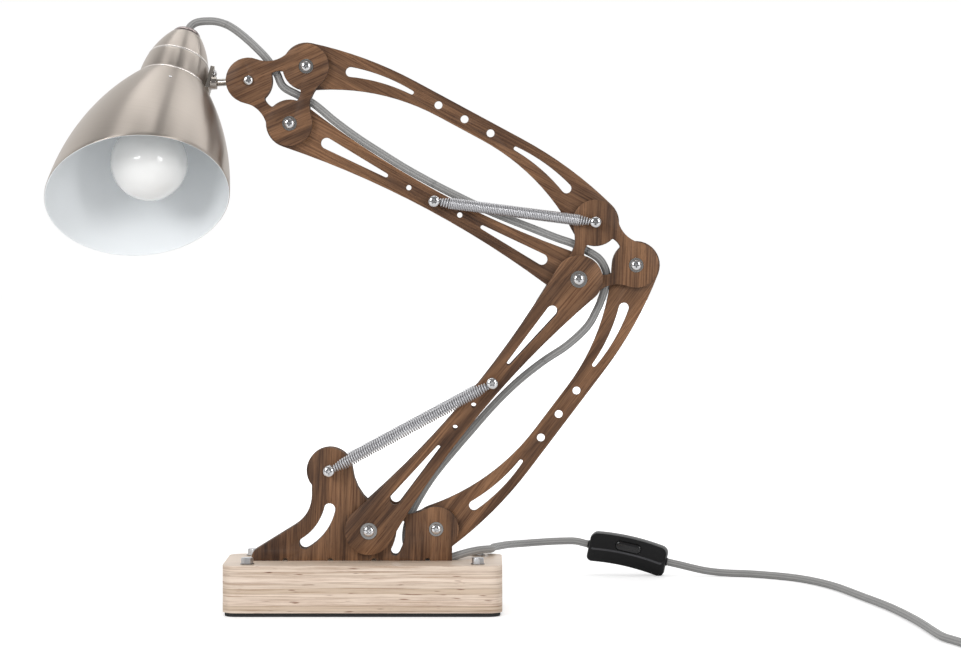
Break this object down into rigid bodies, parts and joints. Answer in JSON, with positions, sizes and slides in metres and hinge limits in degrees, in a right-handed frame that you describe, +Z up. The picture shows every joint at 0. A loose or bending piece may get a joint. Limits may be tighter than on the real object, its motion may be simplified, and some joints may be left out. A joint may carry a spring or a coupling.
{
  "type": "robot shaped desk lamp",
  "caption": "Balanced-arm desk lamp: plywood base, paired walnut plates and slotted links, extension springs, a tilting and swivelling metal shade, and a corded rocker switch.",
  "frame": {"origin": "centre of the underside of the base pad", "axes": "+Z up, +X to the right along the base's long side, toward which the elbow points, +Y away from the front"},
  "size_m": [0.796, 0.5441, 0.4538],
  "materials": {
    "birch_ply": "satin",
    "walnut_ply": "satin",
    "pad": "matte",
    "ballast": "matte",
    "fasteners": "polished",
    "washers": "satin",
    "spring_steel": "bright",
    "shade_metal": "brushed",
    "fittings": "satin",
    "ferrule": "satin",
    "holder": "satin",
    "bulb_glass": "opal",
    "bulb_cap": "satin",
    "cord": "woven",
    "switch_black": "satin",
    "plug_white": "satin"
  },
  "bodies": {
    "base": {"base_block": "birch_ply", "base_pad": "pad", "ballast_plate": "ballast", "bolt_front_left": "fasteners", "bolt_front_right": "fasteners", "bolt_back_left": "fasteners", "bolt_back_right": "fasteners", "foot_plate_front": "walnut_ply", "foot_plate_back": "walnut_ply", "foot_keel": "birch_ply", "foot_bolt_a": "fasteners", "foot_bolt_b": "fasteners", "foot_spacers": "washers", "foot_post_pin": "fasteners", "lower_spring_front": "spring_steel", "lower_spring_back": "spring_steel", "cord_foot": "cord", "mains_cord": "cord", "cord_coil": "cord", "switch_base": "switch_black", "switch_cover": "switch_black", "plug_body": "plug_white", "plug_pins": "fasteners"},
    "lower_arm": {"lower_link_front": "walnut_ply", "lower_link_back": "walnut_ply", "lower_spring_pin": "fasteners", "cord_lower": "cord"},
    "elbow": {"elbow_plate_front": "walnut_ply", "elbow_plate_back": "walnut_ply", "elbow_bolt_p": "fasteners", "elbow_bolt_q": "fasteners", "elbow_bolt_u": "fasteners", "elbow_washers": "washers", "upper_spring_front": "spring_steel", "upper_spring_back": "spring_steel", "cord_elbow": "cord"},
    "lower_bow": {"lower_bowed_link": "walnut_ply"},
    "upper_arm": {"upper_link": "walnut_ply", "upper_spring_pin": "fasteners", "cord_upper": "cord"},
    "upper_bow": {"upper_bowed_link": "walnut_ply"},
    "head": {"head_plate_front": "walnut_ply", "head_plate_back": "walnut_ply", "head_bolt_lower": "fasteners", "head_bolt_upper": "fasteners", "head_bolt_tilt": "fasteners", "head_washers": "washers", "cord_stem_loop": "cord"},
    "stem": {"lamp_stem": "fasteners"},
    "shade": {"shade_body": "shade_metal", "shade_cap": "shade_metal", "cap_ferrule": "ferrule", "shade_knuckle": "fittings", "knuckle_screw": "fasteners", "lamp_holder": "holder", "bulb_glass": "bulb_glass", "bulb_base": "bulb_cap", "cord_cap_loop": "cord"},
    "rocker": {"switch_rocker": "switch_black"}
  },
  "joints": [
    {"name": "lower_arm", "type": "hinge", "parent": "base", "child": "lower_arm", "pos_m": [0.004, 0, 0.0617], "axis": [0, 1, 0], "range_deg": [-30, 11], "deforming": ["lower_spring_front", "lower_spring_back", "cord_foot", "cord_lower"]},
    {"name": "elbow", "type": "hinge", "parent": "lower_arm", "child": "elbow", "pos_m": [0.16358, 0, 0.25323], "axis": [0, 1, 0], "range_deg": [-14.1, 38.5], "deforming": ["cord_elbow"]},
    {"name": "lower_bow", "type": "hinge", "parent": "elbow", "child": "lower_bow", "pos_m": [0.2073, 0, 0.26387], "axis": [0, 1, 0], "range_deg": [-37.1, 13.6]},
    {"name": "upper_arm", "type": "hinge", "parent": "elbow", "child": "upper_arm", "pos_m": [0.16358, 0, 0.25323], "axis": [0, 1, 0], "range_deg": [-30, 20], "deforming": ["upper_spring_front", "upper_spring_back", "cord_upper"]},
    {"name": "upper_bow", "type": "hinge", "parent": "elbow", "child": "upper_bow", "pos_m": [0.17623, 0, 0.29642], "axis": [0, 1, 0], "range_deg": [-30.1, 20.1]},
    {"name": "head", "type": "hinge", "parent": "upper_arm", "child": "head", "pos_m": [-0.05592, 0, 0.37142], "axis": [0, 1, 0], "range_deg": [-20.1, 30.1]},
    {"name": "head_tilt", "type": "hinge", "parent": "head", "child": "stem", "pos_m": [-0.087, 0, 0.40397], "axis": [0, 1, 0], "range_deg": [-40, 40], "deforming": ["cord_stem_loop"]},
    {"name": "shade_swivel", "type": "hinge", "parent": "stem", "child": "shade", "pos_m": [-0.14579, 0, 0.40038], "axis": [-0.9981, 0, -0.061], "range_deg": [-60, 60], "deforming": ["cord_cap_loop"]},
    {"name": "switch_rocker", "type": "hinge", "parent": "base", "child": "rocker", "pos_m": [0.21281, 0.22834, 0.02392], "axis": [0.2059, -0.0289, 0.9781], "range_deg": [-5, 5]}
  ],
  "couplings": [
    {"joint": "elbow", "follows": "lower_arm", "ratio": -1.28},
    {"joint": "lower_bow", "follows": "lower_arm", "ratio": 1.2344},
    {"joint": "upper_bow", "follows": "upper_arm", "ratio": 1},
    {"joint": "head", "follows": "upper_arm", "ratio": -1}
  ]
}
